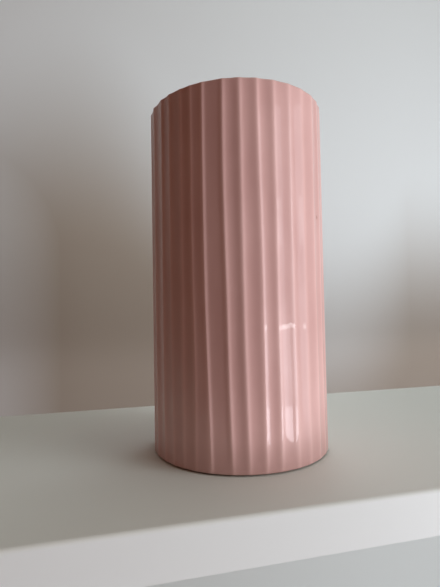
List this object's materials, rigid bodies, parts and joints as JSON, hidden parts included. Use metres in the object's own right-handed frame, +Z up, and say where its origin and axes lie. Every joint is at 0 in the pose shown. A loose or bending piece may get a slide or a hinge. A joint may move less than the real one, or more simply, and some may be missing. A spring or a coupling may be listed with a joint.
{
  "type": "cylinder vase",
  "caption": "Straight cylinder vase with vertical flutes, in glossy pink glazed stoneware, with an open mouth and a recessed foot ring.",
  "frame": {"origin": "centre of the circle that the foot ring rests on", "axes": "+Z up the vase's axis to the mouth, -Y towards the viewer, +X to the viewer's right"},
  "size_m": [0.1034, 0.1034, 0.2],
  "materials": {
    "stoneware": "bare fired brown clay, matt and finely gritty",
    "pink_glaze": "glossy dusty pink glaze, thinner and paler on the crests and deeper in the flutes",
    "lining_glaze": "the same glossy pink glaze, smooth over faint turning rings"
  },
  "bodies": {
    "root": {"clay_body": "stoneware", "outer_glaze": "pink_glaze", "inner_glaze": "lining_glaze", "base_glaze": "pink_glaze"}
  },
  "joints": []
}
